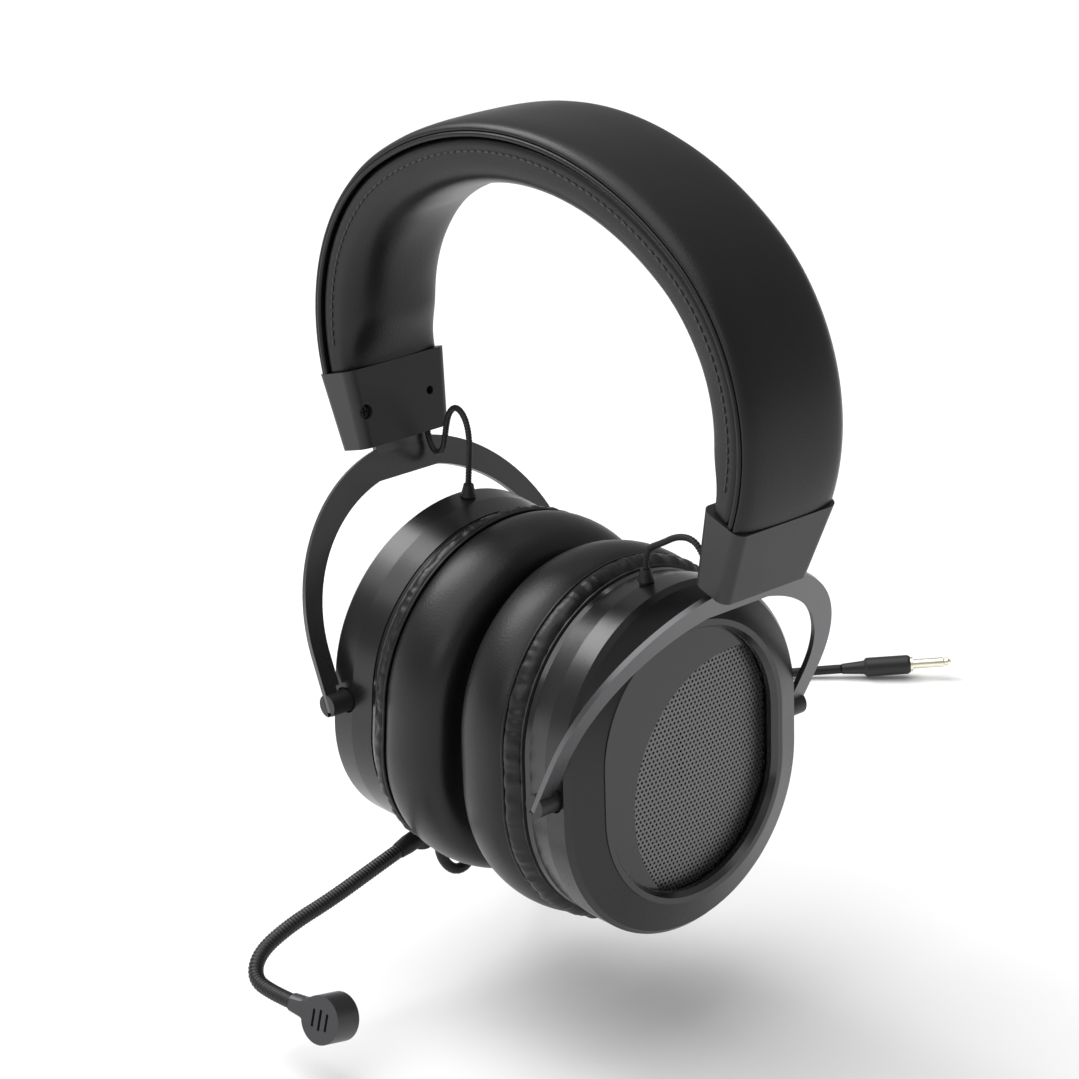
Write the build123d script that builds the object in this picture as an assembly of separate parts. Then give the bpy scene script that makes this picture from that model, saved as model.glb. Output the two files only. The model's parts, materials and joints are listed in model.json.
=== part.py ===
"""Gaming headset: padded headband, sliding fork yokes, two tilting cups, boom microphone, cable.

Millimetres. +Z up. -Y is the front, the way the microphone boom points; +X is to the right for
someone who faces that front. The origin is on the underside of the headband's crown, where it
rests on a head or a hook. Every sided part is drawn for the right side (+X) and mirrored.
"""
from build123d import *
from math import atan2, cos, degrees, hypot, pi, radians, sin, sqrt, tan
import os

# ---- headband: an oval of a crown arc and two side arcs, all tangent ----
BAND_WIDTH = 38.0
BAND_THICK = 21.0          # outer cover to the middle of the pad's underside
SIDE_R = 66.0
SIDE_X = 25.0              # centre of the right side arc
SIDE_Z = -53.0
RISE = BAND_THICK - SIDE_Z
CROWN_R = (SIDE_X ** 2 + RISE ** 2 - SIDE_R ** 2) / (2 * (RISE - SIDE_R))
CROWN_Z = BAND_THICK - CROWN_R
JOIN_ANGLE = degrees(atan2(SIDE_Z - CROWN_Z, SIDE_X))
LEG_ANGLE = 17.6           # how far the side arcs run below their centres
COVER_T = 2.8
SPRING_T = 0.8
SPRING_WIDTH = 15.0
PAD_EDGE_T = 9.5           # pad depth at its two sewn edges
FIT_GAP = 0.1

# ---- end caps, in the cap's frame: x = world Y, y = outwards, z = down the leg ----
CAP_LENGTH = 24.0
CAP_TOP = (38.8, 15.4)     # width and depth where the pad ends
CAP_BOTTOM = (34.0, 12.6)
CAP_PROUD = 0.6
CAP_SPLIT_Y = -7.4
CAP_SCREW_Z = 13.0
CAP_SCREW_X = -14.6

# ---- yokes ----
STEM_WIDTH = 20.0
YOKE_T = 1.6
STEM_Y = -7.4
STEM_TOP_Z = -10.0
BEND_Z = 27.0              # where the fork bends away from the stem
FORK_INNER = (47.0, 45.0)  # half width and half height of the fork's inner arch
FORK_OUTER = (52.8, 54.0)
ARCH_ABOVE_PIVOT = 15.0
TIP_WIDTH = 4.4

# ---- cups, in the cup's frame: z = outwards along the cup's axis, pivots on z = 0 ----
# Radii are across the cup (world Y). An oval is two half rounds, STRETCH above and below the
# axis, joined by straight sides.
PIVOT_X = 45.0
PIVOT_Z = -157.0
CUP_TILT = 3.0             # the cups lean together at the top
STRETCH = 7.0
RIM_R = 46.0
WALL_R = 44.6
WALL_T = 2.2
SHELL_BACK_Z = -10.5
RIM_Z = 4.6
LIP_R = 35.4
LIP_Z = 9.8
OPENING_R = 32.4
MESH_Z = 4.0
PAD_R = 50.0
PAD_HOLE_R = 29.0
PAD_FACE_Z = -42.2
PAD_BACK_Z = -15.2
PIVOT_CAP = (3.4, 44.8, 52.9)   # radius, inner end, outer end
POST_R = 1.5
POST_IN = 38.0
SCREW_SPOT = (26.5, 31.5)  # baffle screws, from the cup's axis

# ---- microphone and cable, world places on the left side ----
MIC_SEAT = (-3.6, -17.5)   # place on the cup's wall: along the cup's axis, and y
GLAND_SEAT = (-4.6, -10.8)
PLUG_PIN_R = 1.75
SOCKET_R = 3.2
GLAND_R = 2.9
GROMMET_R = 1.9
BOOM_R = 2.35
CAPSULE_R = 7.3
CAPSULE_DEPTH = 9.2
CAPSULE_NECK = 7.3         # from the boom's end to the capsule's round side
CAPSULE_FACING = (-0.06, -0.96, 0.24)
CABLE_R = 1.7
LEAD_R = 1.0
FLOOR_Z = -255.0
COIL_PLACE = (-104, 137)
COIL_MIDDLE_R = 19.0
COIL_WIDTH = 7.6
COIL_HEIGHT = 14.2
TIE_T = 0.8
TIE_WIDTH = 9.0
PLUG_R = 3.5

os.makedirs("parts", exist_ok=True)
PARTS = {}


def keep(name, shape):
    """Store a finished piece under its node name."""
    shape.label = name
    PARTS[name] = shape


def mirrored(shape):
    """The left-hand twin of a right-hand piece."""
    return mirror(shape, about=Plane.YZ)


def keep_pair(name, shape):
    """The right-hand piece and its mirror image."""
    keep("right_" + name, shape)
    keep("left_" + name, mirrored(shape))


def lean_plane(x, z, angle):
    """A frame on the right leg: local x = world Y, y = outwards, z = down a line leaning by angle."""
    a = radians(angle)
    return Plane(origin=(x, 0, z), x_dir=(0, 1, 0), z_dir=(-sin(a), 0, -cos(a)))


# ---------------------------------------------------------------- headband
def band_curve(depth, extra=0.0):
    """The oval at a depth inside the outer cover, right end first; extra is more leg in degrees."""
    leg = LEG_ANGLE + extra
    right = CenterArc((SIDE_X, SIDE_Z), SIDE_R - depth, -leg, leg + JOIN_ANGLE)
    crown = CenterArc((0, CROWN_Z), CROWN_R - depth, JOIN_ANGLE, 180 - 2 * JOIN_ANGLE)
    left = CenterArc((-SIDE_X, SIDE_Z), SIDE_R - depth, 180 - JOIN_ANGLE, leg + JOIN_ANGLE)
    return [right, crown, left]


def band_layer(outer, inner, width, extra=0.0):
    """A strip of the headband between two depths."""
    top = band_curve(outer, extra)
    under = band_curve(inner, extra)
    ends = [Line(top[0] @ 0, under[0] @ 0), Line(top[2] @ 1, under[2] @ 1)]
    face = Plane.XZ * make_face(top + under + ends)
    return extrude(face, amount=width / 2, both=True)


def crowned_pad():
    """Foam pad whose underside is deepest along the middle."""
    half = BAND_WIDTH / 2 - 0.4
    path = Plane.XZ * Wire(band_curve(COVER_T))
    end = lean_plane(SIDE_X, SIDE_Z, LEG_ANGLE) * Pos(0, SIDE_R - COVER_T, 0)
    depth = BAND_THICK - COVER_T
    edge = PAD_EDGE_T - COVER_T
    outline = [
        Line((-half, 0), (half, 0)),
        Line((half, 0), (half, -edge)),
        ThreePointArc((half, -edge), (0, -depth), (-half, -edge)),
        Line((-half, -edge), (-half, 0)),
    ]
    return sweep(end * make_face(outline), path=path)


LEG_RAD = radians(LEG_ANGLE)
LEG_X = SIDE_X + SIDE_R * cos(LEG_RAD)
LEG_Z = SIDE_Z - SIDE_R * sin(LEG_RAD)
CAP = lean_plane(LEG_X, LEG_Z, LEG_ANGLE)

cover = band_layer(0, COVER_T, BAND_WIDTH)
spring = band_layer(COVER_T + FIT_GAP, COVER_T + FIT_GAP + SPRING_T, SPRING_WIDTH, extra=8)
spring_room = band_layer(COVER_T, COVER_T + 2 * FIT_GAP + SPRING_T, SPRING_WIDTH + 0.4, extra=8.5)


def guide_block(grow=0.0):
    """The outside of the slider guide, which sits in the cap and runs up into the pad."""
    size = (STEM_WIDTH + 4 + 2 * grow, 5.2 + 2 * grow, 34 + 2 * grow)
    return CAP * Pos(0, STEM_Y, 5.5) * Box(*size)


def stem_slot():
    """The way the stem slides, open at the bottom."""
    return CAP * Pos(0, STEM_Y, 10) * Box(STEM_WIDTH + 0.3, YOKE_T + 0.2, 46)


def slider_guide():
    """Plastic guide with the stem's slot and a pocket for the click spring."""
    pocket = CAP * Pos(0, STEM_Y - YOKE_T / 2 - 0.9, 8) * Box(5, 1.7, 16)
    return guide_block() - stem_slot() - pocket


def click_spring():
    """Leaf spring that presses on the stem and gives the size steps their click."""
    face_y = STEM_Y - YOKE_T / 2
    points = [(face_y - 1.25, 1), (face_y - 0.5, 5), (face_y - 0.15, 8), (face_y - 0.5, 11), (face_y - 1.25, 15)]
    back = [(y - 0.3, z) for y, z in reversed(points)]
    leaf = make_face(Polyline(*points, *back, close=True))
    frame = Plane(origin=CAP.origin, x_dir=CAP.y_dir, z_dir=CAP.x_dir)
    return frame * extrude(leaf, amount=2, both=True)


def cap_body():
    """Tapered cap outline, from the end of the pad down."""
    sections = []
    for z, (width, depth) in ((0, CAP_TOP), (CAP_LENGTH, CAP_BOTTOM)):
        middle = CAP_PROUD - depth / 2 - (0.4 if z else 0)
        sections.append(CAP * Pos(0, middle, z) * RectangleRounded(width, depth, 3.2))
    return loft(sections)


def cap_halves():
    """Outer and inner cap mouldings, split along the leg, with room for guide, spring and screw."""
    body = cap_body() - guide_block(FIT_GAP) - spring_room
    body -= CAP * Pos(0, STEM_Y, CAP_LENGTH) * Box(STEM_WIDTH + 1, YOKE_T + 1, 8)
    head = CAP * Pos(CAP_SCREW_X, -12.6, CAP_SCREW_Z) * Rot(90, 0, 0) * Cylinder(2.2, 4.4)
    shaft = CAP * Pos(CAP_SCREW_X, -7, CAP_SCREW_Z) * Rot(90, 0, 0) * Cylinder(1.05, 11)
    lead_hole = CAP * Pos(10.5, -13, CAP_SCREW_Z - 1) * Rot(90, 0, 0) * Cylinder(1.3, 6)
    body = body - head - shaft - lead_hole
    half = 60
    outer = body & (CAP * Pos(0, CAP_SPLIT_Y + half / 2, 10) * Box(half, half, half))
    inner = body & (CAP * Pos(0, CAP_SPLIT_Y - half / 2, 10) * Box(half, half, half))
    return outer, inner


def cap_screw():
    """Pan-head screw holding the two cap halves."""
    place = CAP * Pos(CAP_SCREW_X, 0, CAP_SCREW_Z)
    head = place * Pos(0, -11.4, 0) * Rot(90, 0, 0) * Cylinder(1.9, 1.4)
    shaft = place * Pos(0, -7.0, 0) * Rot(90, 0, 0) * Cylinder(1.0, 8.6)
    cross = Box(2.4, 1.4, 0.5) + Box(0.5, 1.4, 2.4)
    return head + shaft - place * Pos(0, -12.0, 0) * cross


def build_headband():
    pad = crowned_pad() - spring_room
    for side in (guide_block(FIT_GAP), mirrored(guide_block(FIT_GAP))):
        pad -= side
    keep("headband_cover", cover)
    keep("headband_spring", spring)
    keep("headband_pad", pad)
    outer, inner = cap_halves()
    keep_pair("cap_outer", outer)
    keep_pair("cap_inner", inner)
    fittings = {"cap_screws": cap_screw(), "slider_guides": slider_guide(), "click_springs": click_spring()}
    for name, shape in fittings.items():
        keep(name, Compound(children=[shape, mirrored(shape)]))


# ---------------------------------------------------------------- yokes
def fork_frame():
    """Flat frame of the fork: x = world Y, y = up the fork, z = outwards; and the pivot's drop."""
    bend = (CAP * Pos(0, STEM_Y, BEND_Z)).position
    run_x, run_z = bend.X - PIVOT_X, bend.Z - PIVOT_Z
    lean = atan2(run_x, run_z)
    plane = Plane(origin=bend, x_dir=(0, 1, 0), z_dir=(cos(lean), 0, -sin(lean)))
    return plane, hypot(run_x, run_z)


FORK, PIVOT_DROP = fork_frame()


def yoke():
    """Stamped fork: a stem for the slider, an arch over the cup and two tips at the pivots."""
    centre = Pos(0, ARCH_ABOVE_PIVOT - PIVOT_DROP)
    arch = centre * (Ellipse(*FORK_OUTER) - Ellipse(*FORK_INNER))
    upper = centre * Pos(0, 50) * Rectangle(2 * FORK_OUTER[0] + 2, 100)
    arm_w = FORK_OUTER[0] - FORK_INNER[0]
    arms = [
        Pos(side * (FORK_OUTER[0] - arm_w / 2), 3 + ARCH_ABOVE_PIVOT / 2 - PIVOT_DROP)
        * Rectangle(arm_w, ARCH_ABOVE_PIVOT - 4)
        for side in (-1, 1)
    ]
    tips = [
        Pos(side * (FORK_OUTER[0] - TIP_WIDTH / 2), 3 - PIVOT_DROP) * Rectangle(TIP_WIDTH, 10)
        for side in (-1, 1)
    ]
    neck = Pos(0, -4) * Trapezoid(STEM_WIDTH + 14, 8, 45)
    flat = (arch & upper) + arms + tips + neck
    fork = FORK * extrude(flat, amount=YOKE_T / 2, both=True)
    stem_length = BEND_Z - STEM_TOP_Z
    stem = CAP * Pos(0, STEM_Y, BEND_Z - stem_length / 2 + 0.1) * Box(STEM_WIDTH, YOKE_T, stem_length)
    below = CAP * Pos(0, 0, CAP_LENGTH + 0.6 + 60) * Box(140, 140, 120)
    return stem + (fork & below)


def pivot_cap(side):
    """Slotted cap on the fork's tip, bored for the cup's post."""
    radius, inner, outer = PIVOT_CAP
    length = outer - inner
    body = Rot(90, 0, 0) * Cylinder(radius, length)
    body = Pos(PIVOT_X, side * (inner + outer) / 2, PIVOT_Z) * body
    bore = Pos(PIVOT_X, side * (inner + 1.6), PIVOT_Z) * Rot(90, 0, 0) * Cylinder(POST_R + 0.06, 3.6)
    slit_depth = outer - (FORK_OUTER[0] - TIP_WIDTH) + 0.1
    slit = Pos(side * (outer - slit_depth / 2 + 0.5), -PIVOT_DROP) * Rectangle(slit_depth + 1, 20)
    return body - bore - FORK * extrude(slit, amount=YOKE_T / 2, both=True)


def build_yokes():
    keep_pair("yoke", yoke())
    keep_pair("pivot_caps", Compound(children=[pivot_cap(-1), pivot_cap(1)]))


# ---------------------------------------------------------------- cups
TILT = radians(CUP_TILT)
CUP = Plane(origin=(PIVOT_X, 0, PIVOT_Z), x_dir=(0, 1, 0), z_dir=(cos(TILT), 0, sin(TILT)))


def turned(points):
    """A ring turned about the cup's axis from an outline of (radius, z) points."""
    face = Plane.XZ * make_face(Polyline(*points, close=True))
    return revolve(face, axis=Axis.Z)


def ring(inner, outer, low, high):
    body = Pos(0, 0, (low + high) / 2) * Cylinder(outer, high - low)
    if inner > 0:
        body -= Pos(0, 0, (low + high) / 2) * Cylinder(inner, high - low + 1)
    return body


def oval(outline):
    """A piece with a closed (radius, z) section all round the cup's oval."""
    face = Plane.XZ * outline
    solid = extrude(Pos(0, STRETCH, 0) * face, amount=2 * STRETCH, dir=(0, -1, 0))
    half = revolve(face, axis=Axis.Z, revolution_arc=180)
    solid = solid + Pos(0, STRETCH, 0) * half
    return solid + Rot(0, 0, 180) * solid


def section(*points):
    """A flat section through (radius, z) points."""
    return make_face(Polyline(*points, close=True))


def oval_plate(inner, outer, low, high):
    """A flat oval plate or ring between two heights."""
    flat = Rot(0, 0, 90) * SlotCenterToCenter(2 * STRETCH, 2 * outer)
    if inner > 0:
        flat -= Rot(0, 0, 90) * SlotCenterToCenter(2 * STRETCH, 2 * inner)
    return Pos(0, 0, low) * extrude(flat, amount=high - low)


SCREW_SPOTS = [(sx * SCREW_SPOT[0], sy * SCREW_SPOT[1]) for sx in (-1, 1) for sy in (-1, 1)]


def cup_shell():
    """Outer shell: side wall, rim, bevelled face and grille ledge, with screw posts and pivot bosses."""
    inner = WALL_R - WALL_T
    wall = oval(section(
        (WALL_R, SHELL_BACK_Z), (RIM_R - 0.3, -3), (RIM_R, RIM_Z), (RIM_R - 1.4, RIM_Z + 1.6),
        (LIP_R, LIP_Z), (LIP_R, MESH_Z + 2.6), (LIP_R + 0.1, MESH_Z + 0.6), (OPENING_R + 1.7, MESH_Z + 0.6),
        (OPENING_R + 1.7, MESH_Z - 0.1), (OPENING_R - 1.5, MESH_Z - 0.1), (OPENING_R - 1.5, MESH_Z - 1.6),
        (inner, MESH_Z - 1.6), (inner, SHELL_BACK_Z),
    ))
    for x, y in SCREW_SPOTS:
        wall += Pos(x, y, -2.7) * (Cylinder(2.6, 11.4) - Pos(0, 0, -2) * Cylinder(1.0, 9))
    for side in (-1, 1):
        boss = Pos(side * 41.0, 0, -1.0) * Rot(0, 90, 0) * Cylinder(4.6, 5.6)
        pocket = Pos(side * (PIVOT_CAP[1] - 0.35 + 5), 0, 0) * Rot(0, 90, 0) * Cylinder(4.0, 10)
        hole = Pos(side * 41, 0, 0) * Rot(0, 90, 0) * Cylinder(POST_R, 14)
        wall = wall + boss - pocket - hole
    return wall


def pivot_post(side):
    """Steel post pressed in the shell, on which the pivot cap turns."""
    length = PIVOT_CAP[1] + 2.8 - POST_IN
    return Pos(side * (POST_IN + length / 2), 0, 0) * Rot(0, 90, 0) * Cylinder(POST_R, length)


def cushion():
    """Ear cushion: a plump oval ring, flat at the back."""
    mid = (PAD_FACE_Z + PAD_BACK_Z) / 2
    crest = (PAD_HOLE_R + PAD_R) / 2
    outline = [
        Line((PAD_HOLE_R + 3, PAD_BACK_Z), (PAD_R - 4, PAD_BACK_Z)),
        ThreePointArc((PAD_R - 4, PAD_BACK_Z), (PAD_R, mid), (PAD_R - 5, PAD_FACE_Z + 4)),
        ThreePointArc((PAD_R - 5, PAD_FACE_Z + 4), (crest, PAD_FACE_Z), (PAD_HOLE_R + 3, PAD_FACE_Z + 4)),
        ThreePointArc((PAD_HOLE_R + 3, PAD_FACE_Z + 4), (PAD_HOLE_R, mid), (PAD_HOLE_R + 3, PAD_BACK_Z)),
    ]
    return oval(make_face(outline))


def crescent():
    """Smooth panel over the front part of the grille."""
    panel = oval_plate(0, OPENING_R + 1.4, MESH_Z + 0.6, MESH_Z + 2.2)
    return panel - Pos(19.5, -11.5, MESH_Z) * Cylinder(40, 8)


def baffle():
    """Plate that carries the driver, with vents and screw holes."""
    plate = oval_plate(0, WALL_R - WALL_T - 0.2, SHELL_BACK_Z, SHELL_BACK_Z + 2)
    plate -= Pos(0, 0, SHELL_BACK_Z) * Cylinder(19.5, 6)
    for step in range(12):
        angle = 2 * pi * (step + 0.5) / 12
        plate -= Pos(26 * cos(angle), 26 * sin(angle), SHELL_BACK_Z + 1) * Cylinder(2.2, 4)
    for x, y in SCREW_SPOTS:
        plate -= Pos(x, y, SHELL_BACK_Z + 1) * Cylinder(1.3, 4)
    return plate


def baffle_screws():
    screws = []
    for x, y in SCREW_SPOTS:
        shaft = Pos(x, y, -6.8) * Cylinder(0.95, 7.4)
        head = Pos(x, y, SHELL_BACK_Z - 0.7) * Cylinder(2.1, 1.4)
        screws.append(shaft + head)
    return Compound(children=screws)


def driver_frame():
    """Basket of the loudspeaker, seated in the baffle."""
    return turned([
        (18.2, -11.2), (22.0, -11.2), (22.0, -10.6), (19.4, -10.6), (19.4, -6.4), (14.0, -3.4),
        (14.0, -4.8), (18.2, -7.2),
    ])


def diaphragm():
    """Dome and surround of the loudspeaker."""
    return turned([
        (0, -9.2), (6, -9.6), (7.5, -10.4), (13, -9.4), (18.0, -10.6), (18.0, -10.9),
        (13, -9.8), (7.5, -10.8), (6, -10.0), (0, -9.6),
    ])


def build_cup():
    """Every piece of one cup, in the cup's frame."""
    return {
        "cup_shell": cup_shell(),
        "pivot_posts": Compound(children=[pivot_post(-1), pivot_post(1)]),
        "face_ring": oval(section(
            (OPENING_R, LIP_Z - 1.2), (OPENING_R + 1.2, LIP_Z + 0.5), (LIP_R - 0.05, LIP_Z + 0.5),
            (LIP_R - 0.05, MESH_Z + 2.6), (OPENING_R + 1.5, MESH_Z + 2.6), (OPENING_R, MESH_Z + 2.9),
        )),
        "grille": oval_plate(0, OPENING_R + 1.6, MESH_Z, MESH_Z + 0.5),
        "grille_panel": crescent(),
        "baffle": baffle(),
        "baffle_screws": baffle_screws(),
        "driver_frame": driver_frame(),
        "driver_magnet": ring(0, 13.9, -7.2, -1.0),
        "driver_diaphragm": diaphragm(),
        "trim_ring": oval(section(
            (41.6, -12.9), (44.6, -12.9), (44.8, -12.3), (44.4, -10.7), (41.6, -10.7),
        )),
        "pad_ring": oval_plate(PAD_HOLE_R + 2, 45.4, -15.1, -13.0),
        "ear_cushion": cushion(),
        "driver_cloth": oval_plate(0, PAD_HOLE_R + 1.8, -14.6, -14.2),
    }


def place_cups():
    for name, shape in build_cup().items():
        keep_pair(name, CUP * shape)


# ---------------------------------------------------------------- microphone and cable, left side
def left_wall(seat, radius=WALL_R + 0.6, top=False):
    """World point on the left cup's oval wall, and the direction straight out of it."""
    cup_z, y = seat
    rise = (STRETCH + sqrt(radius ** 2 - y ** 2)) * (1 if top else -1)
    local = Vector(y, rise, cup_z)
    point = CUP.from_local_coords(local)
    away = CUP.y_dir * (1 if top else -1)
    return Vector(-point.X, point.Y, point.Z), Vector(-away.X, away.Y, away.Z)


def tube(points, radii, radius):
    """Round tube along straight runs joined by tangent arcs."""
    path = FilletPolyline(*points, radius=radii)
    start = Plane(origin=path @ 0, z_dir=path % 0)
    print("tube radii", [round(r, 1) for r in radii], "length", round(path.length, 1))
    return sweep(start * Circle(radius), path=path)


def arc_radii(points, share=0.45):
    """The largest tangent arc that each corner's two runs allow."""
    radii = []
    pts = [Vector(*p) for p in points]
    for before, here, after in zip(pts, pts[1:], pts[2:]):
        a, b = here - before, after - here
        turn = radians(a.get_angle(b))
        radii.append(share * min(a.length, b.length) / tan(turn / 2))
    return radii


def along(point, direction, *profile):
    """A piece turned about a line from a point: profile is (radius, distance) pairs."""
    face = Plane.XZ * make_face(Polyline((0, profile[0][1]), *profile, (0, profile[-1][1]), close=True))
    return Plane(origin=point, z_dir=direction) * revolve(face, axis=Axis.Z)


MIC_POINT, MIC_AXIS = left_wall(MIC_SEAT)
GLAND_POINT, GLAND_AXIS = left_wall(GLAND_SEAT)
LEAD_POINT = {"left": left_wall((1.0, 1.0), top=True), "right": left_wall((-3.5, -5.0), top=True)}

# The boom leaves its plug, runs forward under the cup, and curls in to the capsule.
MIC_KNEE = MIC_POINT + MIC_AXIS * 4.6
BOOM_ROUTE = [
    tuple(MIC_KNEE), (-43.8, -35.5, -214.8), (-43.0, -54.0, -219.3), (-42.8, -70.0, -222.2),
    (-42.4, -82.5, -227.0), (-38.6, -87.5, -232.2), (-30.5, -87.2, -233.6), (-21.6, -86.2, -233.5),
]

CAP_EXIT_Y = -10.2         # where the leads leave the caps' lower ends
LEAD_EXIT_X = {"left": 9.0, "right": -5.0}
LEAD_ROUTES = {
    "left": [(-69.6, 9.0, -96.95), (-65.6, 8.6, -98.9), (-62.0, 8.0, -95.6), (-60.2, 7.0, -89.0),
             (-57.6, 6.0, -82.6), (-52.6, 4.6, -79.0), (-46.6, 3.0, -80.8), (-43.4, 1.8, -86.6)],
    "right": [(69.6, -5.0, -96.95), (65.8, -5.0, -98.6), (62.6, -5.0, -95.0), (61.2, -5.1, -89.6),
              (57.2, -5.2, -86.2), (51.0, -5.2, -87.2), (44.6, -5.1, -91.4)],
}

CABLE_Z = FLOOR_Z + CABLE_R
CABLE_DROP = [
    (-41.3, -8.0, -224.3), (-40.3, -4.0, -224.9), (-40.6, 0.0, -222.2), (-44.4, 5.0, -220.5),
    (-49.6, 14.0, -222.4), (-56.0, 27.0, -228.4), (-64.0, 42.0, -237.2), (-74.0, 60.0, -246.6),
    (-85.0, 79.0, -252.2), (-92.0, 98.0, CABLE_Z),
]
CABLE_END = [
    (-120.0, 152.0, CABLE_Z), (-131.0, 170.0, CABLE_Z), (-134.0, 191.0, CABLE_Z), (-127.0, 212.0, CABLE_Z),
    (-115.5, 229.5, CABLE_Z + 0.8), (-106.5, 239.6, FLOOR_Z + PLUG_R),
]


def build_microphone():
    """Detachable gooseneck microphone: plug in the cup's socket, boom and slotted capsule."""
    socket = along(MIC_POINT, MIC_AXIS, (SOCKET_R, -11.5), (SOCKET_R, 1.2), (SOCKET_R - 0.2, 1.6))
    keep("mic_socket", socket - along(MIC_POINT, MIC_AXIS, (PLUG_PIN_R + 0.05, -13), (PLUG_PIN_R + 0.05, 3)))
    plug = along(MIC_POINT, MIC_AXIS, (1.0, -10.6), (PLUG_PIN_R, -9.4), (PLUG_PIN_R, 1.9), (3.3, 1.9), (3.3, 8.0))
    boom = tube(BOOM_ROUTE, arc_radii(BOOM_ROUTE), BOOM_R) - plug
    first_run = (Vector(*BOOM_ROUTE[1]) - MIC_KNEE).normalized()
    collar = along(MIC_KNEE, first_run, (2.9, 0), (2.9, 6), (2.5, 9.5)) - plug - boom
    end = Vector(*BOOM_ROUTE[-1])
    heading = (end - Vector(*BOOM_ROUTE[-2])).normalized()
    centre = end + heading * (CAPSULE_R + CAPSULE_NECK)
    facing = Vector(*CAPSULE_FACING)
    facing = (facing - heading * facing.dot(heading)).normalized()
    drum = Plane(origin=centre, x_dir=heading, z_dir=facing)
    front_z = CAPSULE_DEPTH / 2 - 2.2
    housing = drum * Pos(0, 0, (front_z - CAPSULE_DEPTH / 2) / 2) * Cylinder(CAPSULE_R, front_z + CAPSULE_DEPTH / 2)
    housing += along(end, heading, (BOOM_R + 0.5, 0), (BOOM_R + 0.9, 4.6), (BOOM_R + 2.2, CAPSULE_NECK + 1.4))
    housing -= drum * Pos(0, 0, front_z - 2) * Cylinder(CAPSULE_R - 1.2, 4)
    housing -= drum * Pos(0, 0, front_z + 5) * Cylinder(3 * CAPSULE_R, 10)
    front = drum * Pos(0, 0, front_z + 1) * Cylinder(CAPSULE_R, 2)
    for step in (-1, 0, 1):
        front -= drum * Pos(2.6 * step, 0, front_z + 1) * Box(0.9, 6.4 - abs(step), 4)
    keep("mic_plug", plug)
    keep("mic_collar", collar)
    keep("mic_boom", boom)
    keep("mic_housing", housing)
    keep("mic_front", front)
    keep("mic_element", drum * Pos(0, 0, front_z - 2) * Cylinder(CAPSULE_R - 2.2, 3.4))
    pierce("left_cup_shell", MIC_POINT, MIC_AXIS, SOCKET_R)


def pierce(name, point, axis, radius):
    """Drill a stored piece's wall for an insert."""
    keep(name, PARTS[name] - along(point, axis, (radius, -6), (radius, 3)))


def build_leads():
    """Thin leads from each cap to the top of its cup, with a grommet in the cup."""
    for side, sign in (("left", -1), ("right", 1)):
        point, out = LEAD_POINT[side]
        point = Vector(-sign * point.X, point.Y, point.Z)
        out = Vector(-sign * out.X, out.Y, out.Z)
        grommet = along(point, out, (GROMMET_R, -3.4), (GROMMET_R, 1), (2.4, 1), (2.0, 2.4), (1.5, 4.6))
        keep(side + "_lead_grommet", grommet)
        pierce(side + "_cup_shell", point, out, GROMMET_R)
        leave = (CAP * Pos(LEAD_EXIT_X[side], CAP_EXIT_Y, CAP_LENGTH)).position
        top = point + out * 4.6
        route = [(sign * leave.X, leave.Y, leave.Z)] + LEAD_ROUTES[side] + [tuple(top + out * 6), tuple(top)]
        keep(side + "_link_lead", tube(route, arc_radii(route), LEAD_R))


def coil_tie():
    """Strap round the coil's turns at one place."""
    outer = Box(COIL_WIDTH + 2 * TIE_T, TIE_WIDTH, COIL_HEIGHT + 2 * TIE_T)
    return outer - Box(COIL_WIDTH, TIE_WIDTH + 1, COIL_HEIGHT)


def build_cable():
    """Main cable: gland, drop with its loop, coil with a tie, end and plug."""
    keep("cable_gland", along(GLAND_POINT, GLAND_AXIS, (GLAND_R, -4), (GLAND_R, 1), (2.6, 3), (1.9, 6)))
    pierce("left_cup_shell", GLAND_POINT, GLAND_AXIS, GLAND_R)
    leave = GLAND_POINT + GLAND_AXIS * 6
    coil_entry = (COIL_PLACE[0] + 0.5, COIL_PLACE[1] - COIL_MIDDLE_R - COIL_WIDTH / 2, CABLE_Z)
    drop = [tuple(leave), tuple(leave + GLAND_AXIS * 5)] + CABLE_DROP + [coil_entry]
    keep("cable_drop", tube(drop, arc_radii(drop), CABLE_R))
    coil = ring(COIL_MIDDLE_R - COIL_WIDTH / 2, COIL_MIDDLE_R + COIL_WIDTH / 2, 0, COIL_HEIGHT)
    keep("cable_coil", Pos(*COIL_PLACE, FLOOR_Z + TIE_T) * coil)
    tie_place = Pos(COIL_PLACE[0] + COIL_MIDDLE_R, COIL_PLACE[1], FLOOR_Z + TIE_T + COIL_HEIGHT / 2)
    keep("cable_tie", tie_place * coil_tie())
    keep("cable_end", tube(CABLE_END, arc_radii(CABLE_END), CABLE_R))
    tip = Vector(*CABLE_END[-1])
    heading = (tip - Vector(*CABLE_END[-2])).normalized()
    keep("plug_body", along(tip, heading, (1.9, 0), (2.5, 8), (PLUG_R, 9), (PLUG_R, 24), (3.0, 25)))
    keep("plug_tip", along(tip + heading * 25, heading, (2.6, 0), (2.6, 1), (PLUG_PIN_R, 1), (PLUG_PIN_R, 12),
                           (1.2, 12.6), (PLUG_PIN_R, 13.6), (0.4, 15)))


build_headband()
build_yokes()
place_cups()
build_microphone()
build_leads()
build_cable()

for node, solid in PARTS.items():
    export_step(solid, "parts/" + node + ".step")
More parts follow.
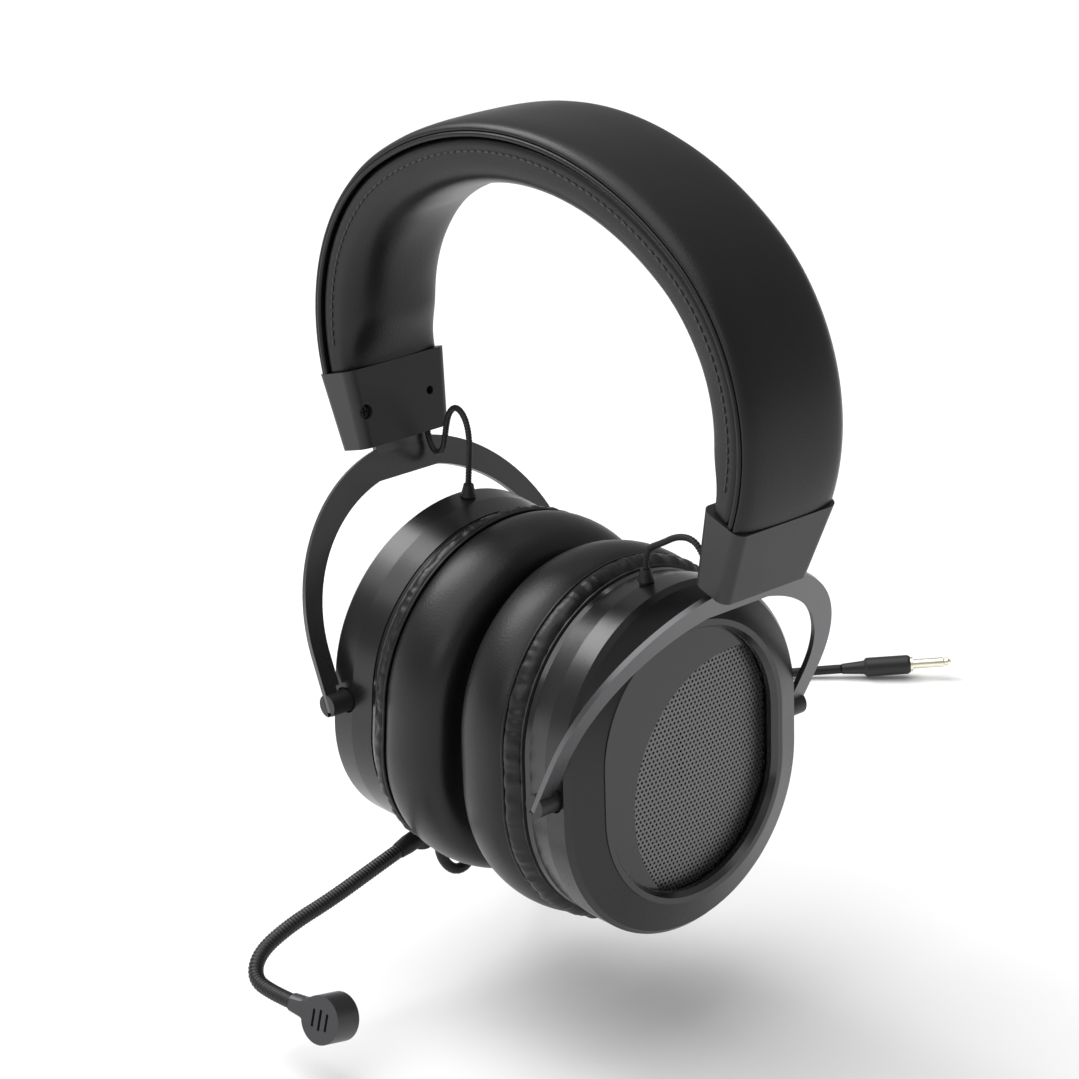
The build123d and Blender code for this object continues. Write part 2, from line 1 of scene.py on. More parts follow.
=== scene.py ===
"""Looks of the gaming headset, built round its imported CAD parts. Metres.

-Y is the front, the way the microphone points, +X is to the right for someone who faces it, and
the origin is on the underside of the headband's crown. The driving sizes and the cord routes
repeat those of the part's source.
"""
import json
from math import atan2, ceil, cos, hypot, pi, radians, sin, sqrt

import bmesh
import bpy
from mathutils import Matrix, Vector, noise


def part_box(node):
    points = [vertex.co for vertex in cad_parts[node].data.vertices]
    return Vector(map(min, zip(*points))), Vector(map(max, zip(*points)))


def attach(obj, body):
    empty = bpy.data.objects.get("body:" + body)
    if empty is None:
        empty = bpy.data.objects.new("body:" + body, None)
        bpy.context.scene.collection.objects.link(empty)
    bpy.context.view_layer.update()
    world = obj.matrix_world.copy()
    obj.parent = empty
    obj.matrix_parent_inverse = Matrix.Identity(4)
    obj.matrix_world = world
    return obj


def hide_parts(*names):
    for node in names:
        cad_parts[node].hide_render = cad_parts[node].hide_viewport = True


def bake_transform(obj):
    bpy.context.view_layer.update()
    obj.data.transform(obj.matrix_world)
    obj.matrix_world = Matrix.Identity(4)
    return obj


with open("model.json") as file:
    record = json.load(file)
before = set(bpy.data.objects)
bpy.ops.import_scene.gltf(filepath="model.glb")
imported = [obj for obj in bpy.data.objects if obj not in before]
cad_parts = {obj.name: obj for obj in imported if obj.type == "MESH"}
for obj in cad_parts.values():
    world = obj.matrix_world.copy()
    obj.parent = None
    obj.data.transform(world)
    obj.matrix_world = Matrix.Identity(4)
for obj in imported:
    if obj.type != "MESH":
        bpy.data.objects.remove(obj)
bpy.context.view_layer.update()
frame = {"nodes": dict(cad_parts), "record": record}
NODES = frame["nodes"]
SCENE = bpy.context.scene
SIDES = {"left": -1, "right": 1}

# ---- headband ----
BAND_WIDTH = 0.038
BAND_THICK = 0.021
SIDE_R = 0.066
SIDE_X = 0.025
SIDE_Z = -0.053
RISE = BAND_THICK - SIDE_Z
CROWN_R = (SIDE_X ** 2 + RISE ** 2 - SIDE_R ** 2) / (2 * (RISE - SIDE_R))
CROWN_Z = BAND_THICK - CROWN_R
JOIN = atan2(SIDE_Z - CROWN_Z, SIDE_X)
LEG = radians(17.6)
COVER_T = 0.0030
PIPING_R = 0.0008
STITCH_DEPTH = 0.0088
STITCH_PITCH = 0.0032
STITCH_LENGTH = 0.0021
CAP_DEPTH = 0.0144          # pad depth where it meets a cap
TUCK = 0.007                # share of the band that runs on inside each cap
CROWN_DROP = 0.0011         # how far the cover's edges fall below its middle, and again as they roll over
COVER_LIFT = 0.0003
COVER_COLUMNS = 120
WELT_COLUMNS = 160
PAD_SIDE_GAP = 0.0003
PAD_SINK = 0.0012           # the cloth run swells the pad out by about this much
PAD_COLUMNS = 112
PAD_STEPS = 18
SQUARENESS = 0.72           # power of the rounded squares that pad and cushions start from
END_REACH = 0.07            # share of the band over which the pad thins towards a cap
STITCHED_SHARE = 0.94       # the middle share of the band that is stitched
STITCH_R = 0.00032
PAD_SWELL = 0.0016          # the most that the cloth run may move a point of the pad

# ---- cups: radii across, z outwards along the cup's axis ----
PIVOT_X = 0.045
PIVOT_Z = -0.157
CUP_TILT = radians(3)
STRETCH = 0.007
OVAL_REF = 0.040            # the radius at which points round an oval are evenly spaced
OPENING_R = 0.0324
MESH_Z = 0.004
PAD_MIDDLE_R = 0.0395
PAD_MIDDLE_Z = -0.0289
PAD_HALF_WIDTH = 0.0094
PAD_HALF_DEPTH = 0.0122
HOLE_PITCH = 0.00152
HOLE_R = 0.00044
CUSHION_SWELL = 0.0014      # the most that the cloth run may move a point of a cushion
SHEET_OVERLAP = 0.0009      # how far the grille runs on under its ring
SHEET_RISE = 0.0006
DOME_RISE = 0.0012
WELD = 0.00002

# ---- cords ----
CABLE_R = 0.0017
LEAD_R = 0.001
BOOM_R = 0.00235
FLOOR_Z = -0.255
CABLE_Z = FLOOR_Z + CABLE_R
PLUG_R = 0.0035
COIL_PLACE = (-0.104, 0.137)
COIL_MIDDLE_R = 0.019
COIL_WIDTH = 0.0076
COIL_HEIGHT = 0.0142
TIE_T = 0.0008
TIE_WIDTH = 0.009
COIL_TURNS = 8
LAYER = 2 * CABLE_R
TURN_POINTS = 16
CUP_STRETCH_END = 0.040     # how far along the cable the part next to the cup ends
FALL_END = 0.120            # how far along the part that bends down to the surface ends


# ---------------------------------------------------------------- meshes
def link(obj):
    SCENE.collection.objects.link(obj)
    return obj


def new_mesh(name, verts, faces, outward=True):
    """A smooth-shaded object from points and faces."""
    mesh = bpy.data.meshes.new(name)
    mesh.from_pydata([tuple(v) for v in verts], [], faces)
    if outward:
        turned = bmesh.new()
        turned.from_mesh(mesh)
        bmesh.ops.recalc_face_normals(turned, faces=turned.faces)
        turned.to_mesh(mesh)
        turned.free()
    mesh.update()
    mesh.shade_smooth()
    return link(bpy.data.objects.new(name, mesh))


def skin(name, rows, joined=False, capped=False):
    """A skin through rows of points, each a closed loop; joined and capped say how it ends."""
    count = len(rows[0])
    faces = []
    for i in range(len(rows) if joined else len(rows) - 1):
        here = i * count
        there = (i + 1) % len(rows) * count
        for j in range(count):
            k = (j + 1) % count
            faces.append((here + j, here + k, there + k, there + j))
    if capped:
        faces.append(tuple(range(count)))
        faces.append(tuple(range(count * (len(rows) - 1), count * len(rows))))
    return new_mesh(name, [p for row in rows for p in row], faces)


def superellipse(angle, power):
    """A point of a rounded square of half width 1."""
    c, s = cos(angle), sin(angle)
    return (abs(c) ** power * (1 if c >= 0 else -1), abs(s) ** power * (1 if s >= 0 else -1))


def subdivide(obj, levels=1):
    modifier = obj.modifiers.new("subdivision", "SUBSURF")
    modifier.levels = levels
    modifier.render_levels = levels


def puff(obj, cap, pressure=4.0, frames=20, held=()):
    """Swell a closed skin as stuffed leatherette by a cloth run without gravity; held points stay."""
    rest = [v.co.copy() for v in obj.data.vertices]
    if held:
        group = obj.vertex_groups.new(name="held")
        group.add(list(held), 1.0, "REPLACE")
    cloth = obj.modifiers.new("cloth", "CLOTH")
    settings = cloth.settings
    settings.quality = 5
    settings.mass = 0.3
    settings.use_pressure = True
    settings.uniform_pressure_force = pressure
    settings.effector_weights.gravity = 0
    if held:
        settings.vertex_group_mass = "held"
    cloth.point_cache.frame_start = 1
    cloth.point_cache.frame_end = frames
    for number in range(1, frames + 1):
        SCENE.frame_set(number)
    swollen = obj.evaluated_get(bpy.context.evaluated_depsgraph_get())
    moved = [v.co.copy() for v in swollen.data.vertices]
    obj.modifiers.remove(cloth)
    for vertex, old, new in zip(obj.data.vertices, rest, moved):
        step = new - old
        vertex.co = old + step * min(1.0, cap / max(step.length, 1e-9))
    SCENE.frame_set(1)


def spaced(line, step):
    """The points of a line, evenly about a step apart."""
    reach = [0.0]
    for a, b in zip(line, line[1:]):
        reach.append(reach[-1] + (b - a).length)
    count = ceil(reach[-1] / step)
    points = []
    k = 0
    for i in range(count + 1):
        wanted = reach[-1] * i / count
        while k < len(line) - 2 and reach[k + 1] < wanted:
            k += 1
        share = (wanted - reach[k]) / max(reach[k + 1] - reach[k], 1e-9)
        points.append(line[k].lerp(line[k + 1], min(1.0, share)))
    return points


def line_length(line):
    return sum((b - a).length for a, b in zip(line, line[1:]))


def route_line(points, step):
    """Evenly spaced points of the smooth line that a cord's route gives."""
    curve = bpy.data.curves.new("route", "CURVE")
    curve.dimensions = "3D"
    spline = curve.splines.new("NURBS")
    spline.points.add(len(points) - 1)
    for control, point in zip(spline.points, points):
        control.co = (*point, 1)
    spline.order_u = 3
    spline.use_endpoint_u = True
    spline.resolution_u = 12
    holder = link(bpy.data.objects.new("route", curve))
    mesh = bpy.data.meshes.new_from_object(holder)
    line = [v.co.copy() for v in mesh.vertices]
    bpy.data.objects.remove(holder)
    bpy.data.curves.remove(curve)
    bpy.data.meshes.remove(mesh)
    return spaced(line, step)


def swept(name, line, radius_at, sides=12, start=0.0):
    """A round skin along a line; the radius depends on the distance along it."""
    rows = []
    along = start
    across = (line[1] - line[0]).orthogonal().normalized()
    for i, point in enumerate(line):
        ahead = (line[min(i + 1, len(line) - 1)] - line[max(i - 1, 0)]).normalized()
        across = (across - ahead * across.dot(ahead)).normalized()
        other = ahead.cross(across)
        radius = radius_at(along)
        turn = [2 * pi * j / sides for j in range(sides)]
        rows.append([point + (across * cos(a) + other * sin(a)) * radius for a in turn])
        if i + 1 < len(line):
            along += (line[i + 1] - point).length
    return skin(name, rows, capped=True)


def ribbed(radius, depth, pitch):
    """Radius of a ribbed sheath at a distance along it."""
    return lambda along: radius - depth + depth * abs(sin(pi * along / pitch))


def plain(radius):
    """Radius of a smooth sheath."""
    return lambda along: radius


# ---------------------------------------------------------------- materials
def material(name, colour, rough, metallic=0.0, grain=0.0006, bump=0.12, coat=0.0, cells=False,
             sheen=0.0, tint=1.35, shine=0.5, spread=0.08):
    """Procedural finish: grain bump of a real size, uneven gloss and a slight change of shade."""
    made = bpy.data.materials.new(name)
    made.use_nodes = True
    tree = made.node_tree
    shader = tree.nodes["Principled BSDF"]
    shader.inputs["Metallic"].default_value = metallic
    shader.inputs["Coat Weight"].default_value = coat
    shader.inputs["Specular IOR Level"].default_value = shine
    shader.inputs["Coat Roughness"].default_value = 0.12
    shader.inputs["Sheen Weight"].default_value = sheen
    place = tree.nodes.new("ShaderNodeTexCoord")
    fine = tree.nodes.new("ShaderNodeTexVoronoi" if cells else "ShaderNodeTexNoise")
    fine.inputs["Scale"].default_value = 1 / grain
    broad = tree.nodes.new("ShaderNodeTexNoise")
    broad.inputs["Scale"].default_value = 38
    broad.inputs["Detail"].default_value = 4
    for texture in (fine, broad):
        tree.links.new(place.outputs["Object"], texture.inputs["Vector"])
    shade = tree.nodes.new("ShaderNodeMix")
    shade.data_type = "RGBA"
    shade.inputs["A"].default_value = (*colour, 1)
    shade.inputs["B"].default_value = (*[min(1.0, c * tint) for c in colour], 1)
    tree.links.new(broad.outputs["Fac"], shade.inputs["Factor"])
    tree.links.new(shade.outputs["Result"], shader.inputs["Base Color"])
    gloss = tree.nodes.new("ShaderNodeMapRange")
    gloss.inputs["From Min"].default_value = 0.3
    gloss.inputs["From Max"].default_value = 0.7
    gloss.inputs["To Min"].default_value = rough - spread / 2
    gloss.inputs["To Max"].default_value = rough + spread / 2
    tree.links.new(broad.outputs["Fac"], gloss.inputs["Value"])
    tree.links.new(gloss.outputs["Result"], shader.inputs["Roughness"])
    relief = tree.nodes.new("ShaderNodeBump")
    relief.inputs["Strength"].default_value = bump
    relief.inputs["Distance"].default_value = grain / 4
    tree.links.new(fine.outputs["Distance" if cells else "Fac"], relief.inputs["Height"])
    tree.links.new(relief.outputs["Normal"], shader.inputs["Normal"])
    return made


def woven(name, colour, rough, thread):
    """Cloth of crossing threads, from two sets of waves."""
    made = material(name, colour, rough, grain=thread, bump=0.3, sheen=0.3)
    tree = made.node_tree
    relief = next(n for n in tree.nodes if n.type == "BUMP")
    place = next(n for n in tree.nodes if n.type == "TEX_COORD")
    both = tree.nodes.new("ShaderNodeMath")
    both.operation = "MULTIPLY"
    for slot, direction in enumerate(("Y", "Z")):
        wave = tree.nodes.new("ShaderNodeTexWave")
        wave.bands_direction = direction
        wave.inputs["Scale"].default_value = 0.3 / thread
        wave.inputs["Distortion"].default_value = 0.4
        tree.links.new(place.outputs["Object"], wave.inputs["Vector"])
        tree.links.new(wave.outputs["Fac"], both.inputs[slot])
    tree.links.new(both.outputs["Value"], relief.inputs["Height"])
    return made


DEEP_BLACK = (0.006, 0.006, 0.0065)
LOOKS = {
    "leatherette": material("leatherette", (0.0045, 0.0045, 0.0048), 0.38, grain=0.0007, bump=0.16,
                            cells=True, shine=0.32),
    "spring_steel": material("spring_steel", (0.42, 0.43, 0.45), 0.32, metallic=1.0, grain=0.0003),
    "satin_plastic": material("satin_plastic", (0.011, 0.011, 0.012), 0.40, grain=0.0003, bump=0.2,
                              shine=0.42),
    "black_steel": material("black_steel", (0.03, 0.03, 0.032), 0.38, metallic=0.8, grain=0.0003),
    "guide_plastic": material("guide_plastic", (0.016, 0.016, 0.017), 0.55, grain=0.0004, bump=0.2),
    "dark_metal": material("dark_metal", (0.10, 0.10, 0.104), 0.30, metallic=0.9, grain=0.00025,
                           bump=0.08),
    "shell_plastic": material("shell_plastic", (0.005, 0.005, 0.0055), 0.26, grain=0.00035,
                              bump=0.08, shine=0.45),
    "gloss_trim": material("gloss_trim", DEEP_BLACK, 0.2, grain=0.0004, bump=0.03, coat=0.3),
    "grille_metal": material("grille_metal", (0.14, 0.14, 0.143), 0.40, metallic=0.8, grain=0.0003,
                             bump=0.1),
    "magnet_steel": material("magnet_steel", (0.3, 0.3, 0.31), 0.3, metallic=1.0, grain=0.0003),
    "diaphragm_film": material("diaphragm_film", (0.07, 0.07, 0.08), 0.25, grain=0.001, bump=0.1),
    "driver_cloth": woven("driver_cloth", (0.014, 0.014, 0.015), 0.8, 0.0007),
    "lead_rubber": material("lead_rubber", DEEP_BLACK, 0.5, grain=0.0003, bump=0.2, shine=0.35),
    "cable_rubber": material("cable_rubber", DEEP_BLACK, 0.5, grain=0.0004, bump=0.2, shine=0.35),
    "gooseneck_rubber": material("gooseneck_rubber", (0.007, 0.007, 0.0075), 0.42, grain=0.0003,
                                 bump=0.2, shine=0.4),
    "mic_metal": material("mic_metal", (0.05, 0.05, 0.053), 0.4, metallic=0.6, grain=0.0002,
                          bump=0.15),
    "tie_fabric": woven("tie_fabric", (0.02, 0.02, 0.021), 0.85, 0.0009),
    "plug_metal": material("plug_metal", (0.75, 0.7, 0.58), 0.22, metallic=1.0, grain=0.0003,
                           bump=0.05),
}
THREAD = material("thread", (0.03, 0.03, 0.032), 0.6, grain=0.0002, bump=0.4)


def dress(obj, slot, look=None):
    """Give a new piece its material: the one for the record's slot, unless a look is given."""
    obj.data.materials.clear()
    obj.data.materials.append(look or LOOKS[slot])
    return obj


# ---------------------------------------------------------------- CAD pieces that stay
BEVELS = {
    "cap_outer": 0.0006, "cap_inner": 0.0006, "yoke": 0.0003, "pivot_caps": 0.0003,
    "mic_housing": 0.0003, "mic_front": 0.0002, "face_ring": 0.0002, "grille_panel": 0.0002,
    "plug_body": 0.0002, "cap_screws": 0.0001,
}


def dress_cad_nodes():
    """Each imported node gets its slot's material, and those with edges to see a fine bevel."""
    for part in frame["record"]["subparts"]:
        name = part["node"]
        node = NODES[name]
        dress(node, part["material_slot"])
        width = BEVELS.get(name.replace("left_", "").replace("right_", ""))
        if width:
            bevel = node.modifiers.new("edges", "BEVEL")
            bevel.width = width
            bevel.segments = 2
            bevel.limit_method = "ANGLE"
            bevel.angle_limit = radians(35)


# ---------------------------------------------------------------- headband
SIDE_ARC = SIDE_R * (LEG + JOIN)
CROWN_ARC = CROWN_R * (pi - 2 * JOIN)
BAND_LENGTH = 2 * SIDE_ARC + CROWN_ARC


def band_place(share):
    """Point on the cover's outer line and the way out of it; share 0 is the right end, 1 the left."""
    along = share * BAND_LENGTH
    if along < SIDE_ARC:
        centre, radius, angle = (SIDE_X, SIDE_Z), SIDE_R, along / SIDE_R - LEG
    elif along < SIDE_ARC + CROWN_ARC:
        centre, radius, angle = (0, CROWN_Z), CROWN_R, JOIN + (along - SIDE_ARC) / CROWN_R
    else:
        past = along - SIDE_ARC - CROWN_ARC
        centre, radius, angle = (-SIDE_X, SIDE_Z), SIDE_R, pi - JOIN + past / SIDE_R
    out = Vector((cos(angle), 0, sin(angle)))
    return Vector((centre[0], 0, centre[1])) + out * radius, out


def band_point(share, y, depth):
    place, out = band_place(share)
    return place - out * depth + Vector((0, y, 0))


def near_end(share):
    """1 at the headband's two ends, falling to 0 a short way in."""
    t = max(0.0, min(1.0, min(share, 1 - share) / END_REACH))
    return 1 - t * t * (3 - 2 * t)


def headband_cover():
    """Crowned outer strip with rolled edges."""
    half = BAND_WIDTH / 2
    outline = []
    for j in range(-10, 11):
        y = j / 10
        outline.append((y * half, CROWN_DROP * abs(y) ** 3 + CROWN_DROP * abs(y) ** 14 - COVER_LIFT))
    outline += [(half + 0.0001, COVER_T - 0.0004), (half - 0.0006, COVER_T + 0.0002)]
    outline += [(-half + 0.0006, COVER_T + 0.0002), (-half - 0.0001, COVER_T - 0.0004)]
    shares = [-TUCK + (1 + 2 * TUCK) * i / COVER_COLUMNS for i in range(COVER_COLUMNS + 1)]
    rows = [[band_point(share, y, depth) for y, depth in outline] for share in shares]
    cover = skin("headband_cover_skin", rows, capped=True)
    dress(cover, "leatherette")
    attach(cover, "headband")
    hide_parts("headband_cover")


def headband_piping():
    """Thin welts where the cover meets the pad's sides."""
    for name, side in (("front", -1), ("back", 1)):
        y = side * (BAND_WIDTH / 2 - 0.0002)
        line = [band_point(i / WELT_COLUMNS, y, COVER_T + PIPING_R) for i in range(WELT_COLUMNS + 1)]
        welt = swept(f"headband_welt_{name}", line, plain(PIPING_R), sides=10)
        dress(welt, "leatherette")
        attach(welt, "headband")


def headband_pad():
    """Foam pad under the band: flat sewn sides, then a deep crowned cushion."""
    half = BAND_WIDTH / 2 - PAD_SIDE_GAP
    rows = []
    for i in range(PAD_COLUMNS + 1):
        share = -TUCK + (1 + 2 * TUCK) * i / PAD_COLUMNS
        depth = BAND_THICK - PAD_SINK + (CAP_DEPTH + PAD_SINK - BAND_THICK) * near_end(share)
        outline = [(half - 0.0004, COVER_T + 0.0007), (half, COVER_T + 0.0030)]
        outline += [(half - 0.0005, STITCH_DEPTH)]
        for j in range(1, PAD_STEPS):
            c, s = superellipse(pi * j / PAD_STEPS, SQUARENESS)
            outline.append((c * (half - 0.0004), STITCH_DEPTH + 0.0002 + (depth - STITCH_DEPTH) * s))
        outline += [(0.0005 - half, STITCH_DEPTH), (-half, COVER_T + 0.0030)]
        outline += [(0.0004 - half, COVER_T + 0.0007)]
        rows.append([band_point(share, y, d) for y, d in outline])
    count = len(rows[0])
    pad = skin("headband_pad_cushion", rows, capped=True)
    edges = (0, 1, 2, count - 3, count - 2, count - 1)
    sewn = [i * count + j for i in range(PAD_COLUMNS + 1) for j in edges]
    ends = list(range(count)) + list(range(count * PAD_COLUMNS, count * (PAD_COLUMNS + 1)))
    puff(pad, PAD_SWELL, held=sorted(set(sewn + ends)))
    subdivide(pad)
    dress(pad, "leatherette")
    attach(pad, "headband")
    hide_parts("headband_pad")


def bead(place, ahead, out, length, radius, verts, faces):
    """Add one stitch: a small spindle of thread lying along a seam."""
    across = ahead.cross(out).normalized()
    first = len(verts)
    profile = ((-0.5, 0.35), (-0.3, 0.9), (0, 1.0), (0.3, 0.9), (0.5, 0.35))
    for reach, size in profile:
        for j in range(6):
            a = 2 * pi * j / 6
            verts.append(place + ahead * reach * length + (across * cos(a) + out * sin(a)) * radius * size)
    for i in range(len(profile) - 1):
        for j in range(6):
            k = (j + 1) % 6
            here, there = first + i * 6, first + (i + 1) * 6
            faces.append((here + j, here + k, there + k, there + j))
    faces.append(tuple(range(first, first + 6)))
    faces.append(tuple(range(len(verts) - 6, len(verts))))


def headband_stitches():
    """A line of stitches along each side of the pad."""
    count = round(BAND_LENGTH * STITCHED_SHARE / STITCH_PITCH)
    first = (1 - STITCHED_SHARE) / 2
    for name, side in (("front", -1), ("back", 1)):
        verts, faces = [], []
        y = side * (BAND_WIDTH / 2 - 0.0006)
        for i in range(count):
            share = first + STITCHED_SHARE * (i + 0.5) / count
            here = band_point(share, y, STITCH_DEPTH)
            ahead = (band_point(share + 0.002, y, STITCH_DEPTH) - here).normalized()
            bead(here, ahead, Vector((0, side, 0)), STITCH_LENGTH, STITCH_R, verts, faces)
        seam = new_mesh(f"headband_stitches_{name}", verts, faces)
        dress(seam, "leatherette", THREAD)
        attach(seam, "headband")


# ---------------------------------------------------------------- cups
def oval_at(share):
    """Spine height and outward direction at a share of the way round a cup's oval."""
    arc = pi * OVAL_REF
    along = share % 1 * 2 * (2 * STRETCH + arc)
    turn = 0.0
    if along >= 2 * STRETCH + arc:
        along -= 2 * STRETCH + arc
        turn = pi
    if along < 2 * STRETCH:
        rise, angle = along - STRETCH, 0.0
    else:
        rise, angle = STRETCH, (along - 2 * STRETCH) / OVAL_REF
    flip = -1 if turn else 1
    return flip * rise, (cos(angle + turn), sin(angle + turn))


def cup_world(side, x, y, z):
    """World point of a place in a cup's frame: x = world Y, y = up, z = outwards."""
    up = Vector((-side * sin(CUP_TILT), 0, cos(CUP_TILT)))
    out = Vector((side * cos(CUP_TILT), 0, sin(CUP_TILT)))
    return Vector((side * PIVOT_X, 0, PIVOT_Z)) + Vector((0, x, 0)) + up * y + out * z


def cup_point(side, share, radius, z):
    rise, (c, s) = oval_at(share)
    return cup_world(side, radius * c, rise + radius * s, z)


def cup_loop(side, radius, z, count):
    return [cup_point(side, i / count, radius, z) for i in range(count)]


def ear_cushion(name, side):
    """Plump oval ring of foam in leatherette, swollen by the cloth run."""
    around, across = 92, 26
    rows = []
    for i in range(around):
        row = []
        for j in range(across):
            c, s = superellipse(2 * pi * j / across, SQUARENESS)
            lean = 0.0016 * (s if s < 0 else 0)
            radius = PAD_MIDDLE_R + PAD_HALF_WIDTH * c + lean
            row.append(cup_point(side, i / around, radius, PAD_MIDDLE_Z + PAD_HALF_DEPTH * s))
        rows.append(row)
    cushion = skin(f"{name}_ear_cushion_skin", rows, joined=True)
    puff(cushion, CUSHION_SWELL)
    subdivide(cushion)
    dress(cushion, "leatherette")
    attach(cushion, f"{name}_cup")
    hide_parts(f"{name}_ear_cushion")


def cushion_skirt(name, side):
    """Gathered strip of leatherette that holds the cushion on its ring."""
    around = 460
    stations = (   # radius, z, how much of the gathers shows there
        (0.0444, -0.0130, 0.1), (0.0458, -0.0138, 0.6), (0.0468, -0.0149, 1.0),
        (0.0475, -0.0163, 1.0), (0.0477, -0.0178, 0.6), (0.0471, -0.0190, 0.15),
    )
    rows = []
    for k, (radius, z, gather) in enumerate(stations):
        row = []
        for i in range(around):
            turn = 2 * pi * i / around
            fold = noise.noise(Vector((17 * cos(turn), 17 * sin(turn), 0.25 * k)))
            crease = noise.noise(Vector((41 * cos(turn), 41 * sin(turn), 3 + 0.2 * k)))
            puffed = gather * (0.00075 * fold + 0.0004 * crease)
            row.append(cup_point(side, i / around, radius + puffed, z))
        rows.append(row)
    skirt = skin(f"{name}_cushion_skirt", rows)
    thick = skirt.modifiers.new("thickness", "SOLIDIFY")
    thick.thickness = 0.0005
    dress(skirt, "leatherette")
    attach(skirt, f"{name}_cup")


def closed_tube(name, points, radius, sides=8):
    """A thin ring of round section through a closed loop of points."""
    rows = []
    for i, point in enumerate(points):
        ahead = (points[(i + 1) % len(points)] - points[i - 1]).normalized()
        across = ahead.cross(Vector((1, 0, 0))).normalized()
        other = ahead.cross(across)
        turn = [2 * pi * j / sides for j in range(sides)]
        rows.append([point + (across * cos(a) + other * sin(a)) * radius for a in turn])
    return skin(name, rows, joined=True)


def cushion_seams(name, side):
    """Welts where the cushion's skins are sewn together."""
    welts = (("outer", 0.0473, -0.0191, 0.0005), ("inner", 0.0303, -0.0330, 0.0004))
    for place, radius, z, thick in welts:
        seam = closed_tube(f"{name}_cushion_seam_{place}", cup_loop(side, radius, z, 180), thick)
        dress(seam, "leatherette")
        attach(seam, f"{name}_cup")


def in_oval(x, y):
    """Distance of a point from the oval's spine."""
    return hypot(x, max(0.0, abs(y) - STRETCH))


def dome(x, y):
    """Height of the grille's domed sheet."""
    share = min(1.0, in_oval(x, y) / OPENING_R)
    return MESH_Z + SHEET_RISE + DOME_RISE * (1 - share * share)


def grille(name, side):
    """Domed steel sheet with rows of round holes, one six-sided cell to each hole."""
    verts, faces = [], []
    row_step = HOLE_PITCH * sqrt(3) / 2
    count = ceil((OPENING_R + STRETCH) / row_step) + 2
    corner_r = HOLE_PITCH / sqrt(3)
    for i in range(-count, count + 1):
        for j in range(-count, count + 1):
            x = (j + 0.5 * (i % 2)) * HOLE_PITCH
            y = i * row_step
            if in_oval(x, y) > OPENING_R + SHEET_OVERLAP:
                continue
            first = len(verts)
            for k in range(6):
                a = radians(60 * k + 30)
                px, py = x + corner_r * cos(a), y + corner_r * sin(a)
                verts.append(cup_world(side, px, py, dome(px, py)))
            for k in range(12):
                a = radians(30 * k + 30)
                px, py = x + HOLE_R * cos(a), y + HOLE_R * sin(a)
                verts.append(cup_world(side, px, py, dome(px, py)))
            hole = first + 6
            for k in range(6):
                corner, following = first + k, first + (k + 1) % 6
                begin, end = hole + 2 * k, hole + (2 * k + 2) % 12
                faces.append((corner, following, end, begin + 1, begin))
    sheet = new_mesh(f"{name}_perforated_grille", verts, faces, outward=False)
    welded = bmesh.new()
    welded.from_mesh(sheet.data)
    bmesh.ops.remove_doubles(welded, verts=welded.verts, dist=WELD)
    bmesh.ops.recalc_face_normals(welded, faces=welded.faces)
    welded.to_mesh(sheet.data)
    welded.free()
    dress(sheet, "grille_metal")
    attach(sheet, f"{name}_cup")
    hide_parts(f"{name}_grille")
    rings = [cup_loop(side, radius, MESH_Z + 0.0001, 90) for radius in (0.001, 0.016, 0.0335)]
    backing = skin(f"{name}_grille_cloth", rings)
    dress(backing, "driver_cloth")
    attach(backing, f"{name}_cup")


# ---------------------------------------------------------------- leads
LEAD_ROUTES = {
    "left": [
        (-0.0709, 0.0090, -0.09275), (-0.0696, 0.0090, -0.09695), (-0.0656, 0.0086, -0.0989),
        (-0.0620, 0.0080, -0.0956), (-0.0602, 0.0070, -0.0890), (-0.0576, 0.0060, -0.0826),
        (-0.0526, 0.0046, -0.0790), (-0.0466, 0.0030, -0.0808), (-0.0434, 0.0018, -0.0866),
    ],
    "right": [
        (0.0709, -0.0050, -0.09275), (0.0696, -0.0050, -0.09695), (0.0658, -0.0050, -0.0986),
        (0.0626, -0.0050, -0.0950), (0.0612, -0.0051, -0.0896), (0.0572, -0.0052, -0.0862),
        (0.0510, -0.0052, -0.0872), (0.0446, -0.0051, -0.0914),
    ],
}
LEAD_SPLIT = 0.031          # length of each lead's upper part, between cap and yoke


def link_lead(name):
    """Ribbed lead from a cap to its cup, in two pieces: an upper one between cap and yoke, a lower one on
    to the cup.
    """
    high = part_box(f"{name}_lead_grommet")[1]
    seat = NODES[f"{name}_lead_grommet"].data.vertices
    rim = [v.co for v in seat if v.co.z > high.z - 0.0006]
    top = sum(rim, Vector()) / len(rim)
    up = Vector((-SIDES[name] * sin(CUP_TILT), 0, cos(CUP_TILT)))
    route = [*LEAD_ROUTES[name], tuple(top + up * 0.006), tuple(top - up * 0.0002)]
    line = route_line(route, 0.00022)
    step = line_length(line) / (len(line) - 1)
    cut = round(LEAD_SPLIT / step)
    sheath = ribbed(LEAD_R, 0.00022, 0.0009)
    upper = swept(f"{name}_link_lead_upper", line[:cut + 1], sheath, sides=10)
    lower = swept(f"{name}_link_lead_lower", line[cut:], sheath, sides=10, start=cut * step)
    for piece in (upper, lower):
        dress(piece, "lead_rubber")
    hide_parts(f"{name}_link_lead")
    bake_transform(upper)
    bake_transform(lower)


# ---------------------------------------------------------------- microphone
MIC_KNEE = (-0.04426, -0.0175, -0.21039)
BOOM_ROUTE = [
    MIC_KNEE, (-0.0438, -0.0355, -0.2148), (-0.0430, -0.0540, -0.2193), (-0.0428, -0.0700, -0.2222),
    (-0.0424, -0.0825, -0.2270), (-0.0386, -0.0875, -0.2322), (-0.0305, -0.0872, -0.2336),
    (-0.0216, -0.0862, -0.2335),
]


